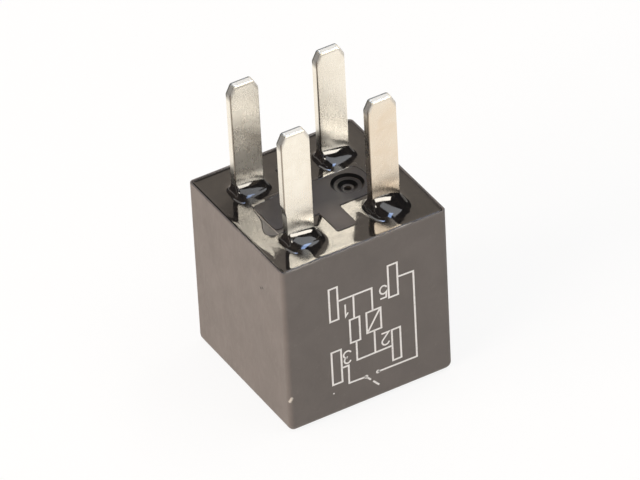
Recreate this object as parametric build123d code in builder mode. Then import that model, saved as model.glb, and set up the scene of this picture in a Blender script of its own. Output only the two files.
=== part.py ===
from build123d import *
import os
from math import cos, radians, sin

# A sealed relay that stands on its closed crown with its four blades up. The origin is the centre of the
# crown's outer face, +Z runs towards the blades and the printed side faces -Y. All sizes are millimetres.

os.makedirs("parts", exist_ok=True)

# Cover
cover_width = 16.3
cover_depth = 15.9
cover_height = 17.3
cover_wall = 0.8
crown_thickness = 0.8
cover_corner_radius = 0.45
crown_edge_radius = 0.8
rim_edge_radius = 0.08
rim_land = 0.15
lead_in_height = 0.7

# Base moulding and resin
base_clearance = 0.05
plate_thickness = 1.0
resin_recess = 0.1
resin_depth = 0.7
plateau_proud = 0.1
plateau_length = 10.6
plateau_width = 4.5
plateau_cross_length = 10.6
plateau_cross_width = 2.0
plateau_corner_radius = 0.25
vent_x = 3.05
vent_y = 0.0
vent_mouth_radius = 1.5
vent_ledge_radii = (1.22, 0.9)
vent_floor_radius = 0.52
vent_step_depth = 0.26
vent_hole_radius = 0.34
vent_hole_depth = 0.9
slot_clearance = 0.03
meniscus_height = 1.1
meniscus_radius = 1.0
meniscus_film = 0.1

# Blades
blade_width = 2.8
blade_thickness = 0.8
blade_reach = 11.3
blade_pitch_x = 8.5
blade_pitch_y = 8.5
blade_grid_x = -0.1
tip_flat = 1.9
tip_taper_height = 0.85
tip_corner_radius = 0.3
tip_edge_radius = 0.15
neck_relief = 0.2
neck_start = 2.9
neck_end = 3.9
blade_edge_radius = 0.08
shoulder_width = 3.4
shoulder_height = 0.4
coil_tail_width = 1.4
coil_tail_length = 3.3
common_tail_length = 3.8

# Magnet
yoke_thickness = 1.1
yoke_bend_radius = 0.3
yoke_wall_gap = 0.75
yoke_back_gap = 0.75
armature_space = 3.9
core_radius = 1.5
core_neck_radius = 1.2
core_neck_recess = 0.05
pole_radius = 2.7
pole_thickness = 0.8
pole_chamfer = 0.15
yoke_end_margin = 2.8

# Bobbin and winding
flange_length = 7.8
flange_width = 7.2
flange_corner_radius = 1.2
flange_thickness = 0.75
flange_gap = 0.3
bobbin_tube_wall = 0.5
bobbin_clearance = 0.02
winding_radius = 3.7
winding_edge_radius = 0.35

# Coil wires and resistor
coil_wire_radius = 0.1
coil_wire_drop = 2.7
coil_wire_pitch = 0.3
wire_clearance = 0.02
resistor_radius = 0.9
resistor_length = 3.6
resistor_end_radius = 0.3
resistor_wire_radius = 0.2
resistor_offset = 0.75
resistor_drop = 2.1
resistor_wire_rise = 0.55
resistor_wire_bend = 0.5

# Armature, contact spring and contacts
swing_angle = 3.2
closing_gap = 0.02
armature_thickness = 1.1
armature_width = 6.0
armature_overhang = 0.5
hinge_edge_gap = 0.12
leaf_thickness = 0.2
leaf_width = 4.8
leaf_neck_width = 2.4
leaf_bend_radius = 0.7
leaf_end_margin = 0.85
leaf_mount_height = 5.1
contact_rivet_radius = 0.4
contact_head_radius = 0.75
contact_upset_height = 0.25
contact_upset_radius = 0.65
rivet_radius = 0.5
rivet_head_radius = 0.75
rivet_head_height = 0.28
rivet_spacing = 2.8
armature_rivet_x = 3.2
yoke_rivet_rise = 3.6
rivet_clearance = 0.02

# Fixed contact and rest stop
foot_width = 2.7
foot_wall_gap = 0.25
foot_rise = 0.2
foot_front_reach = 1.3
foot_bend_radius = 0.3
carrier_jog_height = 1.8
fixed_head_radius = 0.9
fixed_head_height = 0.6
fixed_shank_radius = 0.5
fixed_upset_radius = 0.75
fixed_upset_height = 0.15
stop_thickness = 0.5
stop_width = 1.5
stop_gap = 0.25
stop_seat_depth = 0.6
stop_bend_radius = 0.4
stop_reach = 0.9
stop_clearance = 0.03

# Levels worked out from the sizes above
resin_z = cover_height - resin_recess
plate_top = resin_z - resin_depth
plate_bottom = plate_top - plate_thickness
plateau_z = resin_z + plateau_proud
lead_in_z = cover_height - lead_in_height
flare_z = max(lead_in_z, plate_top)
tip_z = cover_height + blade_reach
yoke_underside = plate_bottom - yoke_thickness
pole_z = crown_thickness + armature_space
flange_bottom_z = pole_z + pole_thickness
winding_bottom = flange_bottom_z + flange_thickness
winding_top = yoke_underside - flange_thickness

# Plan positions worked out from the sizes above
inner_width = cover_width - 2 * cover_wall
inner_depth = cover_depth - 2 * cover_wall
left_x = blade_grid_x - blade_pitch_x / 2
right_x = blade_grid_x + blade_pitch_x / 2
back_y = blade_pitch_y / 2
front_y = -blade_pitch_y / 2
blade_places = [(left_x, front_y), (left_x, back_y), (right_x, front_y), (right_x, back_y)]
tail_face = blade_pitch_y / 2 - blade_thickness / 2
yoke_outer_x = -inner_width / 2 + yoke_wall_gap
yoke_inner_x = yoke_outer_x + yoke_thickness
yoke_centre_x = yoke_outer_x + yoke_thickness / 2
yoke_front = -tail_face
yoke_back = tail_face - yoke_back_gap
core_x = yoke_inner_x + flange_gap + flange_length / 2
core_axis_plane = Plane(origin=(core_x, 0, 0), x_dir=(1, 0, 0), z_dir=(0, -1, 0))
vent_section = Plane(origin=(vent_x, vent_y, 0), x_dir=(1, 0, 0), z_dir=(0, -1, 0))
contact_x = inner_width / 2 - foot_wall_gap - foot_width / 2


def blade_plane(y):
    """Upright plane through a row of blades, sketched in X and Z."""
    return Plane.XZ.offset(-y)


def blade_outline(x, lower_end):
    """One flat blade with its tapered tip, from lower_end up to the tip."""
    with BuildLine() as outline:
        Polyline(
            (x - blade_width / 2, lower_end),
            (x - blade_width / 2, tip_z - tip_taper_height),
            (x - tip_flat / 2, tip_z),
            (x + tip_flat / 2, tip_z),
            (x + blade_width / 2, tip_z - tip_taper_height),
            (x + blade_width / 2, lower_end),
            close=True,
        )
    make_face(outline.edges())


def strip_below(x, width, length):
    """A rectangle of an upright sketch that hangs from the underside of the base."""
    with Locations((x, plate_bottom - length / 2)):
        Rectangle(width, length)


def tip_corners(part):
    """The two short edges at the ends of a blade's top."""
    return part.edges().filter_by(Axis.Y).group_by(Axis.Z)[-1]


def tip_edges(part):
    """The edges round both broad faces of a blade's tip."""
    slanted = part.edges().filter_by(lambda edge: edge.center().Z > tip_z - tip_taper_height)
    return slanted.filter_by(Axis.Y, reverse=True)


def long_edges(part):
    """The upright edges of the blade outside the cover."""
    upright = part.edges().filter_by(Axis.Z)
    return upright.filter_by(lambda edge: edge.length > blade_reach / 2)


def inner_outline(clearance):
    """Plan of the cover's cavity, drawn in by a clearance."""
    RectangleRounded(
        inner_width - 2 * clearance,
        inner_depth - 2 * clearance,
        max(cover_corner_radius - cover_wall / 2, cover_wall / 4),
    )


def plateau_outline():
    """Plan of the base's cross-shaped plateau."""
    with Locations((blade_grid_x, 0)):
        RectangleRounded(plateau_length, plateau_width, plateau_corner_radius)
        RectangleRounded(plateau_cross_width, plateau_cross_length, plateau_corner_radius)


def mouth_outline(z):
    """Plan of the cover's mouth at height z, which flares out above lead_in_z."""
    inner_outline((rim_land - cover_wall) * (z - lead_in_z) / lead_in_height)


# Cover: one deep-drawn shell whose mouth flares towards its rim
with BuildPart() as cover:
    with BuildSketch():
        RectangleRounded(cover_width, cover_depth, cover_corner_radius)
    extrude(amount=cover_height)
    crown_face = cover.faces().sort_by(Axis.Z)[0]
    rim_face = cover.faces().sort_by(Axis.Z)[-1]
    fillet(crown_face.edges(), min(crown_edge_radius, crown_thickness + cover_wall / 2))
    fillet(rim_face.edges(), min(rim_edge_radius, rim_land / 3))
    with BuildSketch(Plane.XY.offset(crown_thickness)):
        inner_outline(0)
    extrude(amount=cover_height, mode=Mode.SUBTRACT)
    with BuildSketch(Plane.XY.offset(lead_in_z)):
        mouth_outline(lead_in_z)
    with BuildSketch(Plane.XY.offset(cover_height)):
        mouth_outline(cover_height)
    loft(ruled=True, mode=Mode.SUBTRACT)
cover.part.label = "cover"

# Terminal 1: coil end, back left
with BuildPart() as terminal_1:
    with BuildSketch(blade_plane(back_y)):
        blade_outline(left_x, plate_bottom)
        strip_below(left_x, shoulder_width, shoulder_height)
        strip_below(left_x, coil_tail_width, coil_tail_length)
    extrude(amount=blade_thickness / 2, both=True)
    fillet(tip_corners(terminal_1), tip_corner_radius)
    fillet(tip_edges(terminal_1), tip_edge_radius)
    fillet(long_edges(terminal_1), blade_edge_radius)
terminal_1.part.label = "terminal_1"

# Terminal 2: coil end, front right
with BuildPart() as terminal_2:
    with BuildSketch(blade_plane(front_y)):
        blade_outline(right_x, plate_bottom)
        strip_below(right_x, shoulder_width, shoulder_height)
        strip_below(right_x, coil_tail_width, coil_tail_length)
    extrude(amount=blade_thickness / 2, both=True)
    fillet(tip_corners(terminal_2), tip_corner_radius)
    fillet(tip_edges(terminal_2), tip_edge_radius)
    fillet(long_edges(terminal_2), blade_edge_radius)
terminal_2.part.label = "terminal_2"

# Terminal 3: common contact, front left, its tail welded flat against the side of the yoke. Above the
# resin its outer edge steps in, where the blade was cut from its strip.
tail_right = left_x + blade_width / 2
with BuildPart() as terminal_3:
    with BuildSketch(blade_plane(front_y)):
        blade_outline(left_x, plate_bottom)
        strip_below((yoke_outer_x + tail_right) / 2, tail_right - yoke_outer_x, common_tail_length)
        with BuildLine():
            Polyline(
                (left_x - blade_width / 2, cover_height),
                (left_x - blade_width / 2 + neck_relief, cover_height),
                (left_x - blade_width / 2 + neck_relief, cover_height + neck_start),
                (left_x - blade_width / 2, cover_height + neck_end),
                close=True,
            )
        make_face(mode=Mode.SUBTRACT)
    extrude(amount=blade_thickness / 2, both=True)
    fillet(tip_corners(terminal_3), tip_corner_radius)
    fillet(tip_edges(terminal_3), tip_edge_radius)
    fillet(long_edges(terminal_3), blade_edge_radius)
terminal_3.part.label = "terminal_3"

# Terminal 5: load contact, back right, with the carrier and foot of the fixed contact
foot_left = contact_x - foot_width / 2
foot_right = contact_x + foot_width / 2
foot_z = pole_z + foot_rise
foot_centre_z = foot_z + blade_thickness / 2
jog_z = plate_bottom - carrier_jog_height
with BuildPart() as terminal_5:
    with BuildSketch(blade_plane(back_y)):
        blade_outline(right_x, plate_bottom)
        with BuildLine():
            Polyline(
                (right_x - blade_width / 2, plate_bottom),
                (right_x - blade_width / 2, jog_z),
                (foot_left, jog_z - carrier_jog_height),
                (foot_left, (jog_z + foot_z) / 2),
                (foot_right, (jog_z + foot_z) / 2),
                (foot_right, jog_z),
                (right_x + blade_width / 2, plate_bottom),
                close=True,
            )
        make_face()
    extrude(amount=blade_thickness / 2, both=True)
    with BuildSketch(Plane.YZ.offset(foot_left)):
        with BuildLine() as foot_line:
            FilletPolyline(
                (back_y, (jog_z + foot_z) / 2),
                (back_y, foot_centre_z),
                (-foot_front_reach, foot_centre_z),
                radius=foot_bend_radius + blade_thickness / 2,
            )
        trace(foot_line.edges(), line_width=blade_thickness)
    extrude(amount=foot_width)
    with Locations((contact_x, 0, foot_z)):
        Hole(fixed_shank_radius)
    fillet(tip_corners(terminal_5), tip_corner_radius)
    fillet(tip_edges(terminal_5), tip_edge_radius)
    fillet(long_edges(terminal_5), blade_edge_radius)
terminal_5.part.label = "terminal_5"

# Fixed contact: a rivet in the foot of terminal 5
fixed_face_z = foot_z - fixed_head_height
foot_top_z = foot_z + blade_thickness
contact_plane = Plane(origin=(contact_x, 0, 0), x_dir=(1, 0, 0), z_dir=(0, -1, 0))
with BuildPart() as fixed_contact:
    with BuildSketch(contact_plane):
        with BuildLine():
            Polyline(
                (0, fixed_face_z),
                (fixed_head_radius, fixed_face_z),
                (fixed_head_radius, foot_z),
                (fixed_shank_radius, foot_z),
                (fixed_shank_radius, foot_top_z),
                (fixed_upset_radius, foot_top_z),
                (fixed_shank_radius, foot_top_z + fixed_upset_height),
                (0, foot_top_z + fixed_upset_height),
                close=True,
            )
        make_face()
    revolve(axis=Axis((contact_x, 0, 0), (0, 0, 1)))
fixed_contact.part.label = "fixed_contact"

# Rest stop: a bent strip pressed into the base, its foot under the moving contact
swing = radians(swing_angle)
contact_arm = contact_x - yoke_outer_x
leaf_under = closing_gap + armature_thickness + leaf_thickness
upset_under = leaf_under + contact_upset_height
upset_edge = contact_arm + contact_upset_radius
stop_top_z = pole_z - upset_edge * sin(swing) - upset_under * cos(swing) - stop_clearance
stop_centre_z = stop_top_z - stop_thickness / 2
stop_y = front_y - blade_thickness / 2 - stop_gap - stop_thickness / 2
with BuildPart() as rest_stop:
    with BuildSketch(Plane.YZ.offset(contact_x - stop_width / 2)):
        with BuildLine() as stop_line:
            FilletPolyline(
                (stop_y, plate_bottom + stop_seat_depth),
                (stop_y, stop_centre_z),
                (stop_reach, stop_centre_z),
                radius=stop_bend_radius + stop_thickness / 2,
            )
        trace(stop_line.edges(), line_width=stop_thickness)
    extrude(amount=stop_width)
rest_stop.part.label = "rest_stop"

# Base: the moulded plate with its cross-shaped plateau and stepped vent recess
with BuildPart() as base:
    with BuildSketch(Plane.XY.offset(plate_bottom)):
        inner_outline(base_clearance)
    extrude(amount=plate_thickness)
    with BuildSketch(Plane.XY.offset(plate_top)):
        plateau_outline()
    extrude(amount=plateau_z - plate_top)
    with BuildSketch(vent_section):
        with BuildLine():
            Polyline(
                (0, plateau_z),
                (vent_mouth_radius, plateau_z),
                (vent_ledge_radii[0], plateau_z - vent_step_depth),
                (vent_ledge_radii[1], plateau_z - vent_step_depth),
                (vent_floor_radius, plateau_z - 2 * vent_step_depth),
                (vent_hole_radius, plateau_z - 2 * vent_step_depth),
                (vent_hole_radius, plateau_z - vent_hole_depth),
                (0, plateau_z - vent_hole_depth),
                close=True,
            )
        make_face()
    revolve(axis=Axis((vent_x, vent_y, 0), (0, 0, 1)), mode=Mode.SUBTRACT)
    with BuildSketch(Plane.XY.offset(plate_bottom)):
        with Locations(*blade_places):
            Rectangle(blade_width + 2 * slot_clearance, blade_thickness + 2 * slot_clearance)
    extrude(amount=resin_depth + plate_thickness + plateau_proud, mode=Mode.SUBTRACT)
    with BuildSketch(Plane.XY.offset(plate_bottom)):
        with Locations((contact_x, stop_y)):
            Rectangle(stop_width, stop_thickness)
    extrude(amount=stop_seat_depth, mode=Mode.SUBTRACT)
base.part.label = "base"

# Resin seal: fills the mouth round the plateau and climbs each blade
with BuildPart() as resin_seal:
    with BuildSketch(Plane.XY.offset(plate_top)):
        inner_outline(0)
    extrude(amount=resin_z - plate_top)
    with BuildSketch(Plane.XY.offset(flare_z)):
        mouth_outline(flare_z)
    with BuildSketch(Plane.XY.offset(resin_z)):
        mouth_outline(resin_z)
    loft(ruled=True)
    with BuildSketch(Plane.XY.offset(resin_z)):
        with Locations(*blade_places):
            RectangleRounded(
                blade_width + 2 * meniscus_film,
                blade_thickness + 2 * meniscus_film,
                meniscus_film + blade_edge_radius,
            )
    extrude(amount=meniscus_height)
    level_edges = resin_seal.edges().filter_by_position(Axis.Z, resin_z, resin_z)
    foot_reach = blade_thickness / 2 + 2 * meniscus_film
    feet = level_edges.filter_by(lambda edge: abs(abs(edge.center().Y) - back_y) < foot_reach)
    fillet(feet, meniscus_radius)
    with BuildSketch(Plane.XY.offset(plate_top)):
        plateau_outline()
    extrude(amount=resin_depth, mode=Mode.SUBTRACT)
    add(terminal_1.part, mode=Mode.SUBTRACT)
    add(terminal_2.part, mode=Mode.SUBTRACT)
    add(terminal_3.part, mode=Mode.SUBTRACT)
    add(terminal_5.part, mode=Mode.SUBTRACT)
resin_seal.part.label = "resin_seal"

# Yoke: one bent strip, its short leg seated on the base and its long leg beside the coil
yoke_end_x = core_x + yoke_end_margin
rivet_z = pole_z + yoke_rivet_rise
with BuildPart() as yoke:
    with BuildSketch(Plane.XZ.offset(-yoke_back)):
        with BuildLine() as yoke_line:
            FilletPolyline(
                (yoke_end_x, plate_bottom - yoke_thickness / 2),
                (yoke_centre_x, plate_bottom - yoke_thickness / 2),
                (yoke_centre_x, pole_z),
                radius=yoke_bend_radius + yoke_thickness / 2,
            )
        trace(yoke_line.edges(), line_width=yoke_thickness)
    extrude(amount=yoke_back - yoke_front)
    with Locations((core_x, 0, plate_bottom)):
        Hole(core_neck_radius, depth=yoke_thickness)
    with BuildSketch(Plane.YZ.offset(yoke_outer_x)):
        with Locations((-rivet_spacing / 2, rivet_z), (rivet_spacing / 2, rivet_z)):
            Circle(rivet_radius + rivet_clearance)
    extrude(amount=yoke_thickness, mode=Mode.SUBTRACT)
yoke.part.label = "yoke"

# Core: a headed iron rod, riveted into the yoke at its upper end
with BuildPart() as core:
    with BuildSketch(core_axis_plane):
        with BuildLine():
            Polyline(
                (0, pole_z),
                (pole_radius - pole_chamfer, pole_z),
                (pole_radius, pole_z + pole_chamfer),
                (pole_radius, flange_bottom_z),
                (core_radius, flange_bottom_z),
                (core_radius, yoke_underside),
                (core_neck_radius, yoke_underside),
                (core_neck_radius, plate_bottom - core_neck_recess),
                (0, plate_bottom - core_neck_recess),
                close=True,
            )
        make_face()
    revolve(axis=Axis((core_x, 0, 0), (0, 0, 1)))
core.part.label = "core"

# Bobbin: a tube with two flanges, moulded in one
with BuildPart() as bobbin:
    for flange_z in (flange_bottom_z, winding_top):
        with BuildSketch(Plane.XY.offset(flange_z)):
            with Locations((core_x, 0)):
                RectangleRounded(flange_length, flange_width, flange_corner_radius)
        extrude(amount=flange_thickness)
    with BuildSketch(Plane.XY.offset(flange_bottom_z)):
        with Locations((core_x, 0)):
            Circle(core_radius + bobbin_clearance + bobbin_tube_wall)
    extrude(amount=yoke_underside - flange_bottom_z)
    with Locations((core_x, 0, yoke_underside)):
        Hole(core_radius + bobbin_clearance)
bobbin.part.label = "bobbin"

# Coil winding: a solid ring of wire between the flanges
with BuildPart() as coil_winding:
    with BuildSketch(Plane.XY.offset(winding_bottom)):
        with Locations((core_x, 0)):
            Circle(winding_radius)
            Circle(core_radius + bobbin_clearance + bobbin_tube_wall, mode=Mode.SUBTRACT)
    extrude(amount=winding_top - winding_bottom)
    rims = coil_winding.edges().filter_by(GeomType.CIRCLE)
    fillet(rims.filter_by(lambda edge: edge.radius > winding_radius - 0.01), winding_edge_radius)
coil_winding.part.label = "coil_winding"

# Coil leads: each leaves the winding at a tangent and takes one turn round its terminal's tail
wire_z = plate_bottom - coil_wire_drop
wire_stand = coil_wire_radius + wire_clearance
tail_side = coil_tail_width / 2 + wire_stand


def coil_lead_path(x, side):
    """Route from the winding round a tail at x, on the back (side 1) or the front (side -1)."""
    toward = 1 if x > core_x else -1
    inner = side * (tail_face - wire_stand)
    outer = side * (tail_face + blade_thickness + wire_stand)
    FilletPolyline(
        (core_x, side * (winding_radius + wire_stand), wire_z),
        (x - toward * (tail_side + coil_tail_width / 2), inner, wire_z),
        (x + toward * tail_side, inner, wire_z),
        (x + toward * tail_side, outer, wire_z - coil_wire_pitch / 2),
        (x - toward * tail_side, outer, wire_z - coil_wire_pitch),
        radius=1.5 * coil_wire_radius,
    )


with BuildPart() as coil_lead_1:
    with BuildLine() as lead_1_line:
        coil_lead_path(left_x, 1)
    with BuildSketch(Plane(origin=lead_1_line.line @ 0, z_dir=lead_1_line.line % 0)):
        Circle(coil_wire_radius)
    sweep(path=lead_1_line.line)
coil_lead_1.part.label = "coil_lead_1"

with BuildPart() as coil_lead_2:
    with BuildLine() as lead_2_line:
        coil_lead_path(right_x, -1)
    with BuildSketch(Plane(origin=lead_2_line.line @ 0, z_dir=lead_2_line.line % 0)):
        Circle(coil_wire_radius)
    sweep(path=lead_2_line.line)
coil_lead_2.part.label = "coil_lead_2"

# Resistor: lies beside the coil, wired in parallel with it
resistor_x = right_x + resistor_offset
resistor_z = plate_bottom - resistor_drop
with BuildPart() as resistor_body:
    with BuildSketch(Plane.XZ.offset(-resistor_length / 2)):
        with Locations((resistor_x, resistor_z)):
            Circle(resistor_radius)
    extrude(amount=resistor_length)
    fillet(resistor_body.edges().filter_by(GeomType.CIRCLE), resistor_end_radius)
resistor_body.part.label = "resistor_body"

# Resistor lead 1: up past the yoke's edge and along it to terminal 1
wire_touch = tail_face - resistor_wire_radius - wire_clearance
wire_slot = (yoke_back + tail_face) / 2
slot_z = plate_bottom - resistor_wire_rise
with BuildPart() as resistor_lead_1:
    with BuildLine() as long_lead_line:
        FilletPolyline(
            (resistor_x, resistor_length / 2, resistor_z),
            (resistor_x, wire_slot, resistor_z),
            (resistor_x, wire_slot, slot_z),
            (left_x + coil_tail_width, wire_slot, slot_z),
            (left_x, wire_touch, slot_z),
            radius=resistor_wire_bend,
        )
    with BuildSketch(Plane(origin=long_lead_line.line @ 0, z_dir=long_lead_line.line % 0)):
        Circle(resistor_wire_radius)
    sweep(path=long_lead_line.line)
resistor_lead_1.part.label = "resistor_lead_1"

# Resistor lead 2: round to the inner face of terminal 2
with BuildPart() as resistor_lead_2:
    with BuildLine() as short_lead_line:
        FilletPolyline(
            (resistor_x, -resistor_length / 2, resistor_z),
            (resistor_x, -wire_touch, resistor_z),
            (right_x - coil_tail_width / 2, -wire_touch, resistor_z),
            radius=resistor_wire_bend,
        )
    with BuildSketch(Plane(origin=short_lead_line.line @ 0, z_dir=short_lead_line.line % 0)):
        Circle(resistor_wire_radius)
    sweep(path=short_lead_line.line)
resistor_lead_2.part.label = "resistor_lead_2"

# Swing frame: origin on the yoke's outer lower edge, +X along the open armature, +Z towards the pole
swing_x = (cos(swing), 0, -sin(swing))
swing_z = (sin(swing), 0, cos(swing))
swing_plan = Plane(origin=(yoke_outer_x, 0, pole_z), x_dir=swing_x, z_dir=swing_z)
armature_top = -closing_gap
armature_under = armature_top - armature_thickness
armature_end = core_x + pole_radius + armature_overhang - yoke_outer_x


def swing_point(along, height):
    """X and Z of a point given along and above the open armature."""
    return (
        yoke_outer_x + along * cos(swing) + height * sin(swing),
        pole_z - along * sin(swing) + height * cos(swing),
    )


# Armature: a flat iron plate that rocks on the edge of the yoke
hinge_edge_radius = min(leaf_bend_radius - leaf_thickness / 2, armature_thickness / 2)
with BuildPart() as armature:
    with BuildSketch(swing_plan.offset(armature_under)):
        with Locations(((hinge_edge_gap + armature_end) / 2, 0)):
            Rectangle(armature_end - hinge_edge_gap, armature_width)
    extrude(amount=armature_thickness)
    hinge_face = armature.faces().sort_by(Axis.X)[0]
    fillet(hinge_face.edges().sort_by(Axis.Z)[0], hinge_edge_radius)
    with BuildSketch(swing_plan.offset(armature_under)):
        with Locations((armature_rivet_x, -rivet_spacing / 2), (armature_rivet_x, rivet_spacing / 2)):
            Circle(rivet_radius + rivet_clearance)
    extrude(amount=armature_thickness, mode=Mode.SUBTRACT)
armature.part.label = "armature"

# Contact spring: one leaf, riveted up the yoke, bent under its edge and on under the armature
leaf_end = contact_arm + leaf_end_margin
leaf_centre = armature_under - leaf_thickness / 2
leaf_x = yoke_outer_x - leaf_thickness / 2
leaf_corner_along = (leaf_x - yoke_outer_x - leaf_centre * sin(swing)) / cos(swing)
waist_along = (leaf_end + armature_end) / 2
waist_shift = leaf_width / 2
with BuildPart() as contact_spring:
    with BuildSketch(Plane.XZ):
        with BuildLine() as leaf_line:
            FilletPolyline(
                (leaf_x, pole_z + leaf_mount_height),
                swing_point(leaf_corner_along, leaf_centre),
                swing_point(leaf_end, leaf_centre),
                radius=leaf_bend_radius,
            )
        trace(leaf_line.edges(), line_width=leaf_thickness)
    extrude(amount=leaf_width / 2, both=True)
    with BuildSketch(swing_plan.offset(armature_under)):
        with Locations((waist_along, waist_shift), (waist_along, -waist_shift)):
            Rectangle(leaf_end - armature_end, leaf_width - leaf_neck_width)
        with Locations((armature_rivet_x, -rivet_spacing / 2), (armature_rivet_x, rivet_spacing / 2)):
            Circle(rivet_radius + rivet_clearance)
        with Locations((contact_arm, 0)):
            Circle(contact_rivet_radius + rivet_clearance)
    extrude(amount=-leaf_thickness, mode=Mode.SUBTRACT)
    with BuildSketch(Plane.YZ.offset(yoke_outer_x - leaf_thickness)):
        with Locations((-rivet_spacing / 2, rivet_z), (rivet_spacing / 2, rivet_z)):
            Circle(rivet_radius + rivet_clearance)
    extrude(amount=leaf_thickness, mode=Mode.SUBTRACT)
contact_spring.part.label = "contact_spring"

# Armature rivets: flush with the top of the armature, headed under the leaf
with BuildPart() as armature_rivets:
    with BuildSketch(swing_plan.offset(-leaf_under)):
        with Locations((armature_rivet_x, -rivet_spacing / 2), (armature_rivet_x, rivet_spacing / 2)):
            Circle(rivet_radius)
    extrude(amount=armature_thickness + leaf_thickness)
    with BuildSketch(swing_plan.offset(-leaf_under)):
        with Locations((armature_rivet_x, -rivet_spacing / 2), (armature_rivet_x, rivet_spacing / 2)):
            Circle(rivet_head_radius)
    extrude(amount=-rivet_head_height)
armature_rivets.part.label = "armature_rivets"

# Yoke rivets: headed outside the leaf, flush with the inner face of the yoke
with BuildPart() as yoke_rivets:
    with BuildSketch(Plane.YZ.offset(yoke_outer_x - leaf_thickness)):
        with Locations((-rivet_spacing / 2, rivet_z), (rivet_spacing / 2, rivet_z)):
            Circle(rivet_radius)
    extrude(amount=leaf_thickness + yoke_thickness)
    with BuildSketch(Plane.YZ.offset(yoke_outer_x - leaf_thickness)):
        with Locations((-rivet_spacing / 2, rivet_z), (rivet_spacing / 2, rivet_z)):
            Circle(rivet_head_radius)
    extrude(amount=-rivet_head_height)
yoke_rivets.part.label = "yoke_rivets"

# Moving contact: a rivet through the free end of the leaf
moving_face = fixed_face_z - pole_z - closing_gap
with BuildPart() as moving_contact:
    with BuildSketch(swing_plan.offset(-upset_under)):
        with Locations((contact_arm, 0)):
            Circle(contact_upset_radius)
    extrude(amount=contact_upset_height)
    with BuildSketch(swing_plan.offset(-leaf_under)):
        with Locations((contact_arm, 0)):
            Circle(contact_rivet_radius)
    extrude(amount=leaf_thickness)
    with BuildSketch(swing_plan.offset(armature_under)):
        with Locations((contact_arm, 0)):
            Circle(contact_head_radius)
    extrude(amount=moving_face - armature_under)
moving_contact.part.label = "moving_contact"

export_step(cover.part, "parts/cover.step")
export_step(base.part, "parts/base.step")
export_step(resin_seal.part, "parts/resin_seal.step")
export_step(terminal_1.part, "parts/terminal_1.step")
export_step(terminal_2.part, "parts/terminal_2.step")
export_step(terminal_3.part, "parts/terminal_3.step")
export_step(terminal_5.part, "parts/terminal_5.step")
export_step(yoke.part, "parts/yoke.step")
export_step(core.part, "parts/core.step")
export_step(bobbin.part, "parts/bobbin.step")
export_step(coil_winding.part, "parts/coil_winding.step")
export_step(coil_lead_1.part, "parts/coil_lead_1.step")
export_step(coil_lead_2.part, "parts/coil_lead_2.step")
export_step(resistor_body.part, "parts/resistor_body.step")
export_step(resistor_lead_1.part, "parts/resistor_lead_1.step")
export_step(resistor_lead_2.part, "parts/resistor_lead_2.step")
export_step(armature.part, "parts/armature.step")
export_step(contact_spring.part, "parts/contact_spring.step")
export_step(armature_rivets.part, "parts/armature_rivets.step")
export_step(yoke_rivets.part, "parts/yoke_rivets.step")
export_step(moving_contact.part, "parts/moving_contact.step")
export_step(fixed_contact.part, "parts/fixed_contact.step")
export_step(rest_stop.part, "parts/rest_stop.step")
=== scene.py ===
import math
from collections import namedtuple

import bpy
import numpy as np
from mathutils import Matrix, Vector
from mathutils.geometry import delaunay_2d_cdt


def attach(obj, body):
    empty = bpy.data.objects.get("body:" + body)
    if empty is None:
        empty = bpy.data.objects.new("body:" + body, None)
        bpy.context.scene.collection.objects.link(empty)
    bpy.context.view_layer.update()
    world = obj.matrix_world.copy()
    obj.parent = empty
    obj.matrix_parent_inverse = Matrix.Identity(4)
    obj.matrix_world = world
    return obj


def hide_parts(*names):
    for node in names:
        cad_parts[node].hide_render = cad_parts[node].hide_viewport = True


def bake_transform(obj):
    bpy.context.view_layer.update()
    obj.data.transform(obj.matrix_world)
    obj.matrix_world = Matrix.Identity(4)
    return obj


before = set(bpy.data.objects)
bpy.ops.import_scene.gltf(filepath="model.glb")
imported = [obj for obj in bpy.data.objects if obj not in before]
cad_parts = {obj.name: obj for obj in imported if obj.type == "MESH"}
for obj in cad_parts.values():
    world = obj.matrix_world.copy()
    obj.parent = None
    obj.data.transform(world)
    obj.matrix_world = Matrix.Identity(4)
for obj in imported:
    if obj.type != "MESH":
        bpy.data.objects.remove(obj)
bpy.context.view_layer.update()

# The object's lengths are in millimetres and are turned into metres where a mesh or a node needs them.
# The floor, the lamps and the camera's clipping are in metres.
MM = 0.001

# The blades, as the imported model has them
blade_grid_x = -0.1
blade_half_pitch = 4.25
blade_half_thickness = 0.4
blade_top = 28.6

# The mouth and the cross-shaped plateau that the resin follows
resin_level = 17.2
plateau_level = 17.3
resin_floor = 16.7
mouth_half_x = 7.92
mouth_half_y = 7.72
mouth_radius = 0.22
plateau_half_x = 5.3
plateau_half_y = 2.25
cross_half_x = 1.0
cross_half_y = 5.3
plateau_radius = 0.25

# The resin's film over the plateau, its tuck under the edges it meets, and how much lower its matte skin lies
film = 0.012
tuck = 0.03
skin_drop = 0.004

# Where the finishes paint a mark or change: points of the object's frame, and how far each one reaches
nick_points = ((-8.0, -7.82, 3.5), (-7.86, -7.91, 3.82), (-7.93, -7.88, 3.66))
nick_reach = 0.24
dent_points = ((-8.15, -4.12, 13.49), (-8.15, -4.44, 13.7))
dent_reach = 0.2
pale_arm = (0.0, -4.0, plateau_level)
pale_reach = 3.0
dull_resin = (-6.3, -0.3, resin_level)
dull_reach = 5.0
# Where the painted highlight runs: a light line along the plateau's left edge
painted_highlight_x = -5.46
warm_face = (4.15, -4.65, 22.5)
warm_reach = 9.0
brown_foot = (4.15, -4.65, 18.7)
brown_reach = 2.2

# The vent in the plateau: the heights of its two walls, and the direction, in x and y, of the side where
# painted shade darkens them
vent_x = 3.05
vent_walls = ((17.065, 17.285), (16.815, 17.035))
vent_wall_edge = 0.01
vent_painted_shade_side = (0.48, 0.87)

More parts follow.
